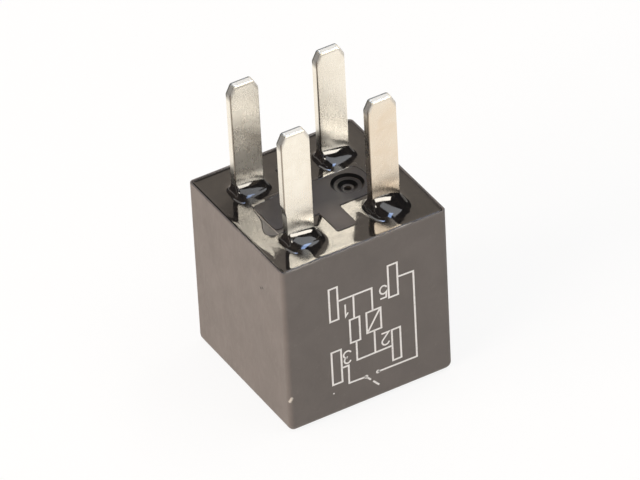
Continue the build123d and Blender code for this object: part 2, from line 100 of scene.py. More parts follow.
# The slanted corners of a blade's tip: half the width that stays level, and the slant's normal in x and z
crown_half_width = 0.95
slant_normal = (0.884, 0.468)

plastic_ior = 1.52


# Node helpers
class Graph:
    """A material's node tree, with short calls for the nodes that the finishes share."""

    def __init__(self, name):
        self.material = bpy.data.materials.new(name)
        self.material.use_nodes = True
        self.tree = self.material.node_tree
        self.shader = self.tree.nodes["Principled BSDF"]
        self.output = self.tree.nodes["Material Output"]
        coordinates = self.tree.nodes.new("ShaderNodeTexCoord")
        self.place = coordinates.outputs["Object"]

    def put(self, socket, value):
        """A link, a number or a vector for any socket, or red, green and blue for a colour socket."""
        if isinstance(value, bpy.types.NodeSocket):
            self.tree.links.new(value, socket)
        elif socket.type == "RGBA":
            socket.default_value = (*value, 1.0)
        else:
            socket.default_value = value

    def set(self, **values):
        """Numbers, colours or links for the Principled shader; an underscore stands for a space."""
        for name, value in values.items():
            self.put(self.shader.inputs[name.replace("_", " ")], value)

    def stretched(self, x=1.0, y=1.0, z=1.0):
        """The object coordinates, in millimetres, scaled along each axis."""
        mapping = self.tree.nodes.new("ShaderNodeMapping")
        self.put(mapping.inputs["Vector"], self.place)
        mapping.inputs["Scale"].default_value = (x / MM, y / MM, z / MM)
        return mapping.outputs["Vector"]

    def separated(self):
        """The object coordinates, in millimetres, as the outputs X, Y and Z."""
        node = self.tree.nodes.new("ShaderNodeSeparateXYZ")
        self.put(node.inputs[0], self.stretched())
        return node.outputs

    def noise(self, scale, detail, roughness, distortion=0.0, vector=None):
        node = self.tree.nodes.new("ShaderNodeTexNoise")
        self.put(node.inputs["Vector"], vector if vector is not None else self.stretched())
        node.inputs["Scale"].default_value = scale
        node.inputs["Detail"].default_value = detail
        node.inputs["Roughness"].default_value = roughness
        node.inputs["Distortion"].default_value = distortion
        return node.outputs["Fac"]

    def wave(self, scale, axis, distortion):
        node = self.tree.nodes.new("ShaderNodeTexWave")
        node.bands_direction = axis
        self.put(node.inputs["Vector"], self.stretched())
        node.inputs["Scale"].default_value = scale
        node.inputs["Distortion"].default_value = distortion
        return node.outputs["Fac"]

    def ramp(self, value, low, high, start=0.0, end=1.0):
        """The value from low..high mapped to start..end, and held there outside."""
        node = self.tree.nodes.new("ShaderNodeMapRange")
        self.put(node.inputs["Value"], value)
        for name, number in (("From Min", low), ("From Max", high), ("To Min", start), ("To Max", end)):
            node.inputs[name].default_value = number
        return node.outputs["Result"]

    def maths(self, operation, first, second=0.0):
        node = self.tree.nodes.new("ShaderNodeMath")
        node.operation = operation
        self.put(node.inputs[0], first)
        self.put(node.inputs[1], second)
        return node.outputs["Value"]

    def blend(self, amount, first, second):
        """Two colours mixed: the first at amount 0, the second at amount 1."""
        node = self.tree.nodes.new("ShaderNodeMix")
        node.data_type = "RGBA"
        self.put(node.inputs[0], amount)
        self.put(node.inputs[6], first)
        self.put(node.inputs[7], second)
        return node.outputs[2]

    def mottled(self, pattern, first, second, low=0.3, high=0.7):
        """A colour that goes from first to second as the pattern goes from low to high."""
        return self.blend(self.ramp(pattern, low, high), first, second)

    def near(self, point, reach):
        """1 at a point of the object's frame, falling to 0 at reach, both in millimetres."""
        node = self.tree.nodes.new("ShaderNodeVectorMath")
        node.operation = "DISTANCE"
        self.put(node.inputs[0], self.stretched())
        node.inputs[1].default_value = point
        return self.ramp(node.outputs["Value"], 0.0, reach, 1.0, 0.0)

    def spots(self, points, reach):
        """1 at each of several points, falling to 0 at reach."""
        spot = self.near(points[0], reach)
        for point in points[1:]:
            spot = self.maths("MAXIMUM", spot, self.near(point, reach))
        return spot

    def bump(self, height, distance, strength, below=None):
        """Surface relief of the given depth in millimetres, over the relief below it if there is any."""
        node = self.tree.nodes.new("ShaderNodeBump")
        self.put(node.inputs["Height"], height)
        node.inputs["Distance"].default_value = distance * MM
        node.inputs["Strength"].default_value = strength
        if below is not None:
            self.put(node.inputs["Normal"], below)
        return node.outputs["Normal"]


# Finishes
def cover_plastic():
    """Dark warm grey glass-filled nylon with a fine spark-eroded grain, a pale nick and a small dark dent."""
    g = Graph("cover_plastic")
    grain = g.noise(9.0, 3.0, 0.6)
    cloud = g.noise(0.35, 3.0, 0.55, 0.4)
    fibre = g.noise(2.2, 2.0, 0.6, 1.2)
    nick = g.spots(nick_points, nick_reach)
    dent = g.spots(dent_points, dent_reach)
    shade = g.mottled(cloud, (0.083, 0.0725, 0.0685), (0.100, 0.088, 0.0835))
    shade = g.blend(g.ramp(fibre, 0.62, 0.72, 0.0, 0.35), shade, (0.125, 0.115, 0.105))
    shade = g.blend(g.ramp(nick, 0.3, 0.6), shade, (0.38, 0.36, 0.33))
    shade = g.blend(g.ramp(dent, 0.2, 0.6, 0.0, 0.8), shade, (0.022, 0.019, 0.017))
    scuffs = g.noise(0.9, 4.0, 0.7, 2.5, g.stretched(1.0, 1.0, 0.35))
    g.set(Base_Color=shade, Roughness=g.ramp(scuffs, 0.35, 0.7, 0.50, 0.40), IOR=plastic_ior)
    relief = g.bump(cloud, 0.05, 0.25, g.bump(grain, 0.006, 0.8))
    g.set(Normal=g.bump(g.maths("SUBTRACT", nick, dent), 0.12, 0.6, relief))
    return g.material


def base_plastic():
    """Darker moulded plate with a matte face, paler on its front arm.

    The vent's walls carry painted shade, dark towards the back right, with their specular level lowered
    there. That side is fixed to the object.
    """
    g = Graph("base_plastic")
    grain = g.noise(7.0, 3.0, 0.65)
    cloud = g.noise(0.8, 3.0, 0.6, 0.5)
    pale = g.ramp(g.near(pale_arm, pale_reach), 0.0, 0.8, 0.0, 0.75)
    shade = g.mottled(cloud, (0.026, 0.022, 0.019), (0.040, 0.034, 0.030))
    shade = g.blend(pale, shade, (0.120, 0.100, 0.083))
    place = g.separated()
    rightward = g.maths("MULTIPLY", g.maths("SUBTRACT", place["X"], vent_x), vent_painted_shade_side[0])
    rearward = g.maths("ADD", rightward, g.maths("MULTIPLY", place["Y"], vent_painted_shade_side[1]))
    # Painted shade: the vent's two walls are darkened, and made less glossy, on their back right half
    painted_shade_side = g.ramp(rearward, -0.5, 0.2)
    shine = 0.4
    for low, high in vent_walls:
        above = g.ramp(place["Z"], low, low + vent_wall_edge)
        below = g.ramp(place["Z"], high, high + vent_wall_edge, 1.0, 0.0)
        wall = g.maths("MULTIPLY", g.maths("MULTIPLY", above, below), painted_shade_side)
        shade = g.blend(wall, shade, (0.003, 0.003, 0.003))
        shine = g.maths("MULTIPLY", shine, g.ramp(wall, 0.0, 1.0, 1.0, 0.1))
    g.set(Base_Color=shade, Roughness=g.ramp(cloud, 0.3, 0.7, 0.5, 0.64))
    g.set(IOR=plastic_ior, Specular_IOR_Level=shine)
    g.set(Normal=g.bump(grain, 0.010, 0.7, g.bump(cloud, 0.06, 0.3)))
    return g.material


def resin_gloss():
    """Black potting resin, glossy, with a faint swell, hazy in places and duller beside the left arm."""
    g = Graph("resin_gloss")
    swell = g.noise(0.45, 2.0, 0.45, 0.3)
    haze = g.noise(1.4, 3.0, 0.6, 0.6)
    dull = g.near(dull_resin, dull_reach)
    shade = g.mottled(haze, (0.008, 0.0075, 0.008), (0.020, 0.017, 0.015), 0.4, 0.75)
    g.set(Base_Color=shade, Roughness=g.ramp(haze, 0.4, 0.8, 0.05, 0.13), IOR=1.54)
    g.set(Specular_IOR_Level=g.ramp(dull, 0.05, 0.5, 0.5, 0.24), Normal=g.bump(swell, 0.03, 0.5))
    return g.material


def resin_matte():
    """Resin that set dull where it ran thin, with a painted highlight: a light line along the plateau's left
    edge.
    """
    g = Graph("resin_matte")
    grain = g.noise(6.0, 3.0, 0.6)
    cloud = g.noise(1.1, 3.0, 0.6, 0.5)
    beside = g.maths("ABSOLUTE", g.maths("ADD", g.separated()["X"], -painted_highlight_x))
    shade = g.mottled(cloud, (0.030, 0.026, 0.023), (0.046, 0.040, 0.035))
    # Painted highlight: a light line along the plateau's left edge
    shade = g.blend(g.ramp(beside, 0.03, 0.08, 0.7, 0.0), shade, (0.24, 0.21, 0.18))
    g.set(Base_Color=shade, Roughness=g.ramp(cloud, 0.3, 0.7, 0.36, 0.5))
    g.set(IOR=plastic_ior, Normal=g.bump(grain, 0.010, 0.6))
    return g.material


def tin_plate():
    """Bright tin over brass, with rolling lines up the blade and a cloudy bloom.

    The tips are worn dull and their colour darkened as painted shade, with a pale crown and a painted dark
    reflection on the back edge; one edge is sheared, and one blade is warmer, and browner towards its foot.
    """
    g = Graph("tin_plate")
    bloom = g.noise(0.55, 4.0, 0.6, 0.8)
    lines = g.noise(2.6, 3.0, 0.6, 0.0, g.stretched(6.0, 6.0, 0.22))
    pits = g.noise(5.5, 2.0, 0.5)
    place = g.separated()

    def from_blade(position):
        """A position on the grid, counted from the middle of the blade on its side."""
        side = g.maths("SIGN", position)
        return g.maths("SUBTRACT", position, g.maths("MULTIPLY", side, blade_half_pitch))

    across = from_blade(g.maths("ADD", place["X"], -blade_grid_x))
    through = from_blade(place["Y"])
    below_top = g.maths("SUBTRACT", blade_top, place["Z"])
    beside = g.maths("SUBTRACT", crown_half_width, g.maths("ABSOLUTE", across))
    beside = g.maths("MULTIPLY", beside, slant_normal[0])
    below_slant = g.maths("ADD", beside, g.maths("MULTIPLY", below_top, slant_normal[1]))
    inward = g.maths("MINIMUM", below_top, below_slant)
    # Dull wear at the tips, and painted shade: their colour is darkened to dim the highlight on them
    tip_wear_and_shade = g.ramp(inward, 0.12, 0.34, 1.0, 0.0)
    # Painted reflection: a dark line along the back edge of each tip
    painted_dark_reflection = g.maths("MULTIPLY", g.ramp(inward, 0.13, 0.17, 1.0, 0.0), g.ramp(through, 0.12, 0.2))
    crown = g.ramp(below_top, 0.05, 0.2, 1.0, 0.0)
    left_edge = g.ramp(across, -1.34, -1.27, 1.0, 0.0)
    sheared = g.maths("MULTIPLY", left_edge, g.ramp(through, -0.34, -0.25, 1.0, 0.0))
    warm = g.ramp(g.near(warm_face, warm_reach), 0.1, 0.45)
    layers = (
        (g.ramp(lines, 0.55, 0.8, 0.0, 0.25), (0.70, 0.67, 0.61)),
        (g.ramp(pits, 0.70, 0.80, 0.0, 0.2), (0.42, 0.38, 0.33)),
        (g.maths("MULTIPLY", warm, g.ramp(bloom, 0.3, 0.7, 0.4, 0.85)), (0.75, 0.64, 0.515)),
        (g.ramp(g.near(brown_foot, brown_reach), 0.0, 0.7, 0.0, 0.75), (0.52, 0.43, 0.34)),
        (g.maths("MULTIPLY", tip_wear_and_shade, 0.9), (0.46, 0.45, 0.44)),
        (g.maths("MULTIPLY", crown, 0.9), (0.88, 0.83, 0.70)),
        (g.maths("MULTIPLY", painted_dark_reflection, 0.9), (0.20, 0.205, 0.19)),
        (g.maths("MULTIPLY", sheared, 0.8), (0.20, 0.16, 0.125)),
    )
    shade = g.mottled(bloom, (0.905, 0.874, 0.805), (0.97, 0.95, 0.892), 0.35)
    for amount, paint in layers:
        shade = g.blend(amount, shade, paint)
    rough = g.maths("ADD", g.ramp(bloom, 0.3, 0.75, 0.21, 0.32), g.ramp(lines, 0.4, 0.8, 0.0, 0.06))
    rough = g.maths("ADD", rough, g.maths("MULTIPLY", tip_wear_and_shade, 0.3))
    g.set(Base_Color=shade, Metallic=1.0, Roughness=rough)
    g.set(Normal=g.bump(lines, 0.005, 0.25, g.bump(bloom, 0.05, 0.22)))
    return g.material


def plated_iron():
    """Zinc-plated magnet iron with a satin grain."""
    g = Graph("plated_iron")
    grain = g.noise(3.0, 3.0, 0.6, 0.0, g.stretched(0.4, 3.0, 1.0))
    cloud = g.noise(0.5, 3.0, 0.6)
    g.set(Base_Color=g.mottled(cloud, (0.50, 0.50, 0.49), (0.62, 0.62, 0.60)))
    g.set(Metallic=1.0, Roughness=g.ramp(grain, 0.3, 0.8, 0.28, 0.42))
    g.set(Normal=g.bump(grain, 0.008, 0.6))
    return g.material


def bobbin_plastic():
    """Near-black moulded coil former with faint flow marks."""
    g = Graph("bobbin_plastic")
    grain = g.noise(6.0, 3.0, 0.6)
    flow = g.noise(0.6, 3.0, 0.6, 1.5)
    g.set(Base_Color=g.mottled(flow, (0.030, 0.030, 0.032), (0.046, 0.045, 0.046)))
    g.set(Roughness=g.ramp(grain, 0.3, 0.7, 0.38, 0.52), IOR=plastic_ior, Normal=g.bump(grain, 0.006, 0.7))
    return g.material


def copper_wire():
    """Enamelled copper: the turns lie side by side up the winding."""
    g = Graph("copper_wire")
    turns = g.wave(1.6, "Z", 0.25)
    tint = g.noise(0.7, 3.0, 0.6)
    g.set(Base_Color=g.mottled(tint, (0.62, 0.20, 0.07), (0.78, 0.30, 0.11)))
    g.set(Metallic=1.0, Roughness=g.ramp(turns, 0.0, 1.0, 0.42, 0.22), Coat_Weight=0.5, Coat_Roughness=0.15)
    g.set(Normal=g.bump(turns, 0.05, 0.9))
    return g.material


def resistor_paint():
    """Beige lacquer with four colour bands round the body."""
    g = Graph("resistor_paint")
    speck = g.noise(4.0, 3.0, 0.6)
    along = g.separated()["Y"]
    shade = g.mottled(speck, (0.58, 0.44, 0.27), (0.68, 0.54, 0.36))
    bands = (
        (-1.0, (0.08, 0.16, 0.42)),
        (-0.45, (0.12, 0.12, 0.12)),
        (0.1, (0.22, 0.07, 0.03)),
        (1.0, (0.50, 0.32, 0.08)),
    )
    for centre, paint in bands:
        away = g.maths("ABSOLUTE", g.maths("SUBTRACT", along, centre))
        shade = g.blend(g.ramp(away, 0.13, 0.15, 1.0, 0.0), shade, paint)
    g.set(Base_Color=shade, Roughness=g.ramp(speck, 0.3, 0.7, 0.3, 0.42))
    g.set(IOR=1.5, Normal=g.bump(speck, 0.01, 0.5))
    return g.material


def tinned_wire():
    """Lightly clouded tin on the resistor's wires."""
    g = Graph("tinned_wire")
    cloud = g.noise(2.0, 3.0, 0.6)
    g.set(Base_Color=g.mottled(cloud, (0.72, 0.70, 0.66), (0.84, 0.82, 0.78)))
    g.set(Metallic=1.0, Roughness=g.ramp(cloud, 0.3, 0.7, 0.22, 0.36), Normal=g.bump(cloud, 0.01, 0.5))
    return g.material


def leaf_bronze():
    """Rolled spring bronze with a fine grain along the strip."""
    g = Graph("leaf_bronze")
    grain = g.noise(3.0, 3.0, 0.6, 0.0, g.stretched(0.4, 4.0, 0.4))
    g.set(Base_Color=g.mottled(grain, (0.70, 0.42, 0.20), (0.80, 0.52, 0.27)))
    g.set(Metallic=1.0, Roughness=g.ramp(grain, 0.3, 0.8, 0.22, 0.36), Normal=g.bump(grain, 0.004, 0.6))
    return g.material


def rivet_steel():
    """Peened steel rivet heads."""
    g = Graph("rivet_steel")
    peen = g.noise(2.5, 3.0, 0.6)
    g.set(Base_Color=g.mottled(peen, (0.54, 0.53, 0.51), (0.66, 0.65, 0.62)))
    g.set(Metallic=1.0, Roughness=g.ramp(peen, 0.3, 0.7, 0.26, 0.40), Normal=g.bump(peen, 0.02, 0.6))
    return g.material


def contact_silver():
    """Silver contact faces with a warm tarnish in places."""
    g = Graph("contact_silver")
    tarnish = g.noise(1.6, 4.0, 0.65)
    g.set(Base_Color=g.mottled(tarnish, (0.90, 0.89, 0.86), (0.62, 0.58, 0.50), 0.45, 0.75))
    g.set(Metallic=1.0, Roughness=g.ramp(tarnish, 0.3, 0.8, 0.16, 0.34), Normal=g.bump(tarnish, 0.008, 0.5))
    return g.material


def white_ink():
    """Pad-printed white ink, a little thin and speckled in places."""
    g = Graph("white_ink")
    speckle = g.noise(7.0, 3.0, 0.65)
    thin = g.noise(0.8, 2.0, 0.5)
    wear = g.maths("MULTIPLY", g.ramp(speckle, 0.52, 0.66), g.ramp(thin, 0.42, 0.62))
    thinned = g.ramp(wear, 0.0, 1.0, 0.0, 0.55)
    g.set(Base_Color=g.blend(thinned, (0.70, 0.70, 0.70), (0.30, 0.29, 0.28)))
    g.set(Roughness=g.ramp(speckle, 0.3, 0.7, 0.45, 0.6), IOR=1.5, Normal=g.bump(speckle, 0.006, 0.6))
    return g.material


finishes = {
    "cover": cover_plastic(),
    "base": base_plastic(),
    "resin": resin_gloss(),
    "tin_plate": tin_plate(),
    "magnet_iron": plated_iron(),
    "bobbin": bobbin_plastic(),
    "copper_wire": copper_wire(),
    "resistor": resistor_paint(),
    "tin_wire": tinned_wire(),
    "spring_leaf": leaf_bronze(),
    "rivet": rivet_steel(),
    "contact_silver": contact_silver(),
}
node_finish = {
    "cover": "cover",
    "base": "base",
    "resin_seal": "resin",
    "terminal_1": "tin_plate",
    "terminal_2": "tin_plate",
    "terminal_3": "tin_plate",
    "terminal_5": "tin_plate",
    "yoke": "magnet_iron",
    "core": "magnet_iron",
    "armature": "magnet_iron",
    "bobbin": "bobbin",
    "coil_winding": "copper_wire",
    "coil_lead_1": "copper_wire",
    "coil_lead_2": "copper_wire",
    "resistor_body": "resistor",
    "resistor_lead_1": "tin_wire",
    "resistor_lead_2": "tin_wire",
    "contact_spring": "spring_leaf",
    "armature_rivets": "rivet",
    "yoke_rivets": "rivet",
    "moving_contact": "contact_silver",
    "fixed_contact": "contact_silver",
    "rest_stop": "spring_leaf",
}
for node, finish in node_finish.items():
    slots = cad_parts[node].data.materials
    slots.clear()
    slots.append(finishes[finish])

# The contact leaf bends where it passes the edge of the yoke. A copy of its node takes its place, with its
# placement baked into the mesh.
contact_leaf = bpy.data.objects.new("contact_leaf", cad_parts["contact_spring"].data.copy())
bpy.context.scene.collection.objects.link(contact_leaf)
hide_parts("contact_spring")
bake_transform(contact_leaf)


# Mesh helpers
def new_piece(name, points, faces, finish, smooth=True):
    """A mesh object from points in millimetres of the object's frame."""
    mesh = bpy.data.meshes.new(name)
    mesh.from_pydata([tuple(c * MM for c in p) for p in points], [], faces)
    mesh.validate()
    mesh.polygons.foreach_set("use_smooth", [smooth] * len(mesh.polygons))
    mesh.update()
    obj = bpy.data.objects.new(name, mesh)
    bpy.context.scene.collection.objects.link(obj)
    mesh.materials.append(finish)
    return obj


# How the resin wets each blade: the blade's centre and half width, and how high the resin climbs at its left
# edge, its middle and its right edge
Foot = namedtuple("Foot", "x y half_width left middle right")
feet = [
    Foot(-4.35, 4.25, 1.4, 1.13, 1.01, 0.70),
    Foot(-4.25, -4.25, 1.3, 1.19, 1.19, 0.96),
    Foot(4.15, 4.25, 1.4, 1.22, 1.06, 0.74),
    Foot(4.15, -4.25, 1.4, 1.37, 1.42, 1.00),
]

# The resin's level lines round a blade: how fast they spread to each side, and how square they start
left_spread = 0.14
right_spread = 0.3
back_spread = 0.4
front_spread = 1.0
squareness = 9.0
squareness_fade = 0.8
ring_steps = 720

# A point's place among the level lines is looked for between these two, by halving the range this many times
nearest_reach = -0.2
farthest_reach = 30.0
halvings = 40

# The resin's fall away from a blade, the bead at the blade's left corner and the low apron farther out
contact_slope = 1.42
bead_height = 0.17
bead_reach = 0.14
bead_offset = (-0.05, -0.38)
apron_height = 0.13
apron_length = 1.5

# The swell of the open resin, its rise at the mouth's wall, and how near the plateau the swell dies away
swell_height = 0.012
ripple_height = 0.006
wall_rise = 0.05
wall_reach = 0.12
calm_reach = 0.8

# How finely the resin is meshed: the spacing on its outlines and level lines, and the gap between them
mouth_spacing = 0.2
shore_spacing = 0.1
hole_spacing = 0.06
near_spacing = 0.05
far_spacing = 0.08
near_limit = 0.3
grid_spacing = 0.13
grid_gap = 0.06
flank_offset = 0.05
merge_distance = 1e-5
fewest_points = 12
curve_step = 0.125
corner_points = 9

# How far out from a blade its level lines are laid, closer together at the metal
ring_reaches = (
    -tuck, 0.0, 0.02, 0.045, 0.075, 0.11, 0.15, 0.2, 0.26, 0.33, 0.4, 0.48, 0.57, 0.66, 0.76, 0.87, 0.99,
    1.12, 1.26, 1.41, 1.57, 1.75, 1.95,
)

# The line where the resin ends round the matte middle, from the left arm's far corner
shore_points = [
    (-2.2, 1.9), (-3.34, 1.89), (-4.16, 1.76), (-5.1, 1.66), (-5.5, 1.3), (-5.59, 0.58), (-5.71, -0.32),
    (-6.04, -1.08), (-6.28, -1.67), (-6.36, -2.2), (-6.0, -2.64), (-5.43, -2.83), (-4.03, -2.65),
    (-2.33, -2.45), (-1.3, -2.35), (-1.08, -2.7), (-1.07, -4.0), (-1.06, -4.9), (-0.9, -5.2),
    (-0.4, -5.27), (0.3, -5.27), (0.75, -5.2), (0.87, -4.8), (0.87, -3.4), (0.9, -2.5), (1.2, -2.23),
    (2.4, -2.22), (3.6, -2.22), (4.7, -2.2), (5.05, -1.9), (5.08, -0.8), (5.05, 0.7), (4.85, 1.65),
    (4.3, 1.88), (2.47, 1.89), (1.1, 1.9), (0.76, 2.3), (0.72, 3.4), (0.7, 4.2), (0.4, 4.55),
    (-0.4, 4.62), (-0.85, 4.4), (-1.0, 4.0), (-1.03, 2.9), (-1.2, 2.0), (-1.6, 1.9),
]


def resampled(loop, spacing):
    """Points evenly spaced round a closed loop."""
    points = np.array(loop)
    closed = np.vstack([points, points[:1]])
    run = np.concatenate([[0], np.cumsum(np.linalg.norm(np.diff(closed, axis=0), axis=1))])
    places = np.linspace(0, run[-1], max(fewest_points, round(run[-1] / spacing)), endpoint=False)
    return np.stack([np.interp(places, run, closed[:, axis]) for axis in (0, 1)], axis=1)


def smooth_loop(points, spacing):
    """A closed Catmull-Rom curve through points, evenly spaced."""
    loop = []
    count = len(points)
    for i in range(count):
        p0, p1, p2, p3 = (np.array(points[(i + k) % count]) for k in (-1, 0, 1, 2))
        for t in np.arange(0, 1, curve_step):
            curve = 2 * p1 + (p2 - p0) * t + (2 * p0 - 5 * p1 + 4 * p2 - p3) * t**2
            loop.append(0.5 * (curve + (3 * p1 - p0 - 3 * p2 + p3) * t**3))
    return resampled(loop, spacing)


def rounded_loop(corners, radius, spacing):
    """A closed polygon, counter-clockwise, whose outward corners are rounded."""
    loop = []
    count = len(corners)
    for i in range(count):
        before, here, after = (np.array(corners[(i + k) % count], float) for k in (-1, 0, 1))
        into = (here - before) / np.linalg.norm(here - before)
        out = (after - here) / np.linalg.norm(after - here)
        if into[0] * out[1] - into[1] * out[0] < 0:
            loop.append(here)
            continue
        middle = here - radius * into + radius * out
        for angle in np.linspace(0, math.pi / 2, corner_points):
            loop.append(middle - radius * out * math.cos(angle) + radius * into * math.sin(angle))
    return resampled(loop, spacing)


def foot_ring(foot, reach, spacing):
    """One level line of the resin round a blade: squarish at the metal, an ellipse farther out."""
    power = 2 / (2 + squareness * math.exp(-max(reach, 0) / squareness_fade))
    turn = np.linspace(0, 2 * math.pi, ring_steps, endpoint=False)
    across = np.sign(np.cos(turn)) * np.abs(np.cos(turn)) ** power
    along = np.sign(np.sin(turn)) * np.abs(np.sin(turn)) ** power
    spread = np.where(across < 0, left_spread, right_spread)
    depth = np.where(along < 0, front_spread, back_spread)
    ring = np.stack([
        foot.x + (foot.half_width + spread * reach) * across,
        foot.y + (blade_half_thickness + depth * reach) * along,
    ], axis=1)
    return resampled(ring, spacing)


def foot_reach(foot, points):
    """How far out each point lies from a blade, counted in its level lines."""
    x = np.abs(points[:, 0] - foot.x)
    y = np.abs(points[:, 1] - foot.y)
    spread = np.where(points[:, 0] < foot.x, left_spread, right_spread)
    depth = np.where(points[:, 1] < foot.y, front_spread, back_spread)
    low = np.full(len(points), nearest_reach)
    high = np.full(len(points), farthest_reach)
    for _ in range(halvings):
        reach = (low + high) / 2
        power = 2 + squareness * np.exp(-np.maximum(reach, 0) / squareness_fade)
        level = (x / (foot.half_width + spread * reach)) ** power
        outside = level + (y / (blade_half_thickness + depth * reach)) ** power > 1
        low = np.where(outside, reach, low)
        high = np.where(outside, high, reach)
    return low


def distance_to_loop(points, loop):
    """Distance from each point to a closed loop of short segments."""
    best = np.full(len(points), 1e9)
    for p, q in zip(loop, np.roll(loop, -1, axis=0)):
        d = q - p
        t = np.clip(((points - p) @ d) / max(d @ d, 1e-12), 0, 1)
        best = np.minimum(best, np.linalg.norm(points - (p + t[:, None] * d), axis=1))
    return best


def inside_loop(points, loop):
    """Which points lie inside a closed loop."""
    x, y = points[:, 0], points[:, 1]
    within = np.zeros(len(points), bool)
    for (px, py), (qx, qy) in zip(loop, np.roll(loop, -1, axis=0)):
        if py != qy:
            crosses = (py > y) != (qy > y)
            within ^= crosses & (x < (qx - px) * (y - py) / (qy - py) + px)
    return within


def cross_corners():
    """The plateau's outline, counter-clockwise from the right arm's lower corner."""
    px, py, cx, cy = plateau_half_x, plateau_half_y, cross_half_x, cross_half_y
    quarter = [(px, -py), (px, py), (cx, py), (cx, cy), (-cx, cy), (-cx, py)]
    corners = quarter + [(-x, -y) for x, y in quarter]
    return [(blade_grid_x + x, y) for x, y in corners]


mouth_corners = [(sx * mouth_half_x, sy * mouth_half_y) for sx, sy in ((1, -1), (1, 1), (-1, 1), (-1, -1))]
mouth = rounded_loop(mouth_corners, mouth_radius, mouth_spacing)
plateau = rounded_loop(cross_corners(), plateau_radius, shore_spacing)
shore = smooth_loop(shore_points, shore_spacing)


def resin_height(points):
    """The resin's surface over each point: level in the open, climbing each blade and filming the plateau."""
    x, y = points[:, 0], points[:, 1]
    to_edge = distance_to_loop(points, plateau)
    on_plateau = inside_loop(points, plateau) & (to_edge > tuck / 2)
    swell = swell_height * np.sin(x * 0.9 + 0.4) * np.cos(y * 0.8 - 0.7)
    swell = swell + ripple_height * np.sin(x * 1.9 - y * 1.3)
    to_wall = np.minimum(mouth_half_x - np.abs(x), mouth_half_y - np.abs(y))
    wall = wall_rise * np.exp(-np.maximum(to_wall, 0) / wall_reach)
    height = resin_level + swell * np.clip(to_edge / calm_reach, 0, 1) + wall
    for foot in feet:
        reach = np.maximum(foot_reach(foot, points), 0)
        side = np.clip((x - foot.x) / foot.half_width, -1, 1)
        ends = (foot.left + foot.right) / 2
        rise = foot.middle + (foot.right - foot.left) / 2 * side + (ends - foot.middle) * side**2
        height += (rise - apron_height) * np.exp(-reach * contact_slope / rise)
        beside = np.maximum(np.abs(x - foot.x) - foot.half_width, 0)
        ahead = np.maximum(np.abs(y - foot.y) - blade_half_thickness, 0)
        height += apron_height * np.exp(-np.hypot(beside, ahead) / apron_length)
        bead_x = foot.x - foot.half_width + bead_offset[0]
        bead_y = foot.y - blade_half_thickness + bead_offset[1]
        height += bead_height * np.exp(-((x - bead_x) ** 2 + (y - bead_y) ** 2) / bead_reach**2)
    return np.where(on_plateau, np.maximum(height, plateau_level + film), height)


def closed_sheet(name, flat, heights, faces, finish):
    """A closed piece: a free surface above the given faces and a flat floor hidden below."""
    turn = np.cross(flat[faces[:, 1]] - flat[faces[:, 0]], flat[faces[:, 2]] - flat[faces[:, 0]])
    faces = np.where((turn < 0)[:, None], faces[:, [0, 2, 1]], faces)
    used, renumbered = np.unique(faces, return_inverse=True)
    upper = [tuple(f) for f in renumbered.reshape(-1, 3).tolist()]
    edges = {e for a, b, c in upper for e in ((a, b), (b, c), (c, a))}
    count = len(used)
    lower = [(c + count, b + count, a + count) for a, b, c in upper]
    sides = [(b, a, a + count, b + count) for a, b in edges if (b, a) not in edges]
    points = [(x, y, z) for (x, y), z in zip(flat[used], heights[used])]
    points += [(x, y, resin_floor) for x, y in flat[used]]
    return new_piece(name, points, upper + lower + sides, finish)


def make_resin():
    """The glossy pool round the matte middle, and the matte skin between them."""
    points, edges = [], []
    holes = [foot_ring(foot, ring_reaches[0], hole_spacing) for foot in feet]
    for loop in [mouth, plateau, shore] + holes:
        first, count = len(points), len(loop)
        points += [tuple(p) for p in loop]
        edges += [(first + i, first + (i + 1) % count) for i in range(count)]
    for foot in feet:
        for reach in ring_reaches[1:]:
            spacing = near_spacing if reach < near_limit else far_spacing
            points += [tuple(p) for p in foot_ring(foot, reach, spacing)]
    xs = np.arange(-mouth_half_x + grid_spacing, mouth_half_x - grid_spacing / 2, grid_spacing)
    ys = np.arange(-mouth_half_y + grid_spacing, mouth_half_y - grid_spacing / 2, grid_spacing)
    grid = np.array([(x, y) for x in xs for y in ys])
    clear = (distance_to_loop(grid, shore) > grid_gap) & (distance_to_loop(grid, plateau) > grid_gap)
    for foot in feet:
        clear &= foot_reach(foot, grid) > ring_reaches[-1] + grid_gap
    points += [tuple(p) for p in grid[clear]]
    for loop in (shore, plateau):
        ahead = np.roll(loop, -1, axis=0) - np.roll(loop, 1, axis=0)
        side = np.stack([ahead[:, 1], -ahead[:, 0]], axis=1) / np.linalg.norm(ahead, axis=1)[:, None]
        points += [tuple(p) for offset in (-flank_offset, flank_offset) for p in loop + offset * side]
    made = delaunay_2d_cdt([Vector(p) for p in points], edges, [], 0, merge_distance)
    flat = np.array([tuple(v) for v in made[0]])
    faces = np.array([f for f in made[2] if len(f) == 3])
    centres = flat[faces].mean(axis=1)
    wet = inside_loop(centres, mouth)
    for hole in holes:
        wet &= ~inside_loop(centres, hole)
    matte = inside_loop(centres, shore)
    heights = resin_height(flat)
    pool = closed_sheet("resin", flat, heights, faces[wet & ~matte], finishes["resin"])
    bare = wet & matte & ~inside_loop(centres, plateau)
    skin = closed_sheet("resin_skin", flat, heights - skin_drop, faces[bare], resin_matte())
    return pool, skin


resin, resin_skin = make_resin()
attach(resin, "housing")
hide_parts("resin_seal")
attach(resin_skin, "housing")

# Printed wiring diagram: strokes on the front face, drawn as thin plates of ink
front_face = -7.95
ink_height = 0.012
ink_root = 0.004
line_width = 0.17
mitre_limit = 0.4
dot_steps = 20
digit_line_width = 0.15
digit_width = 0.85
digit_height = 1.3


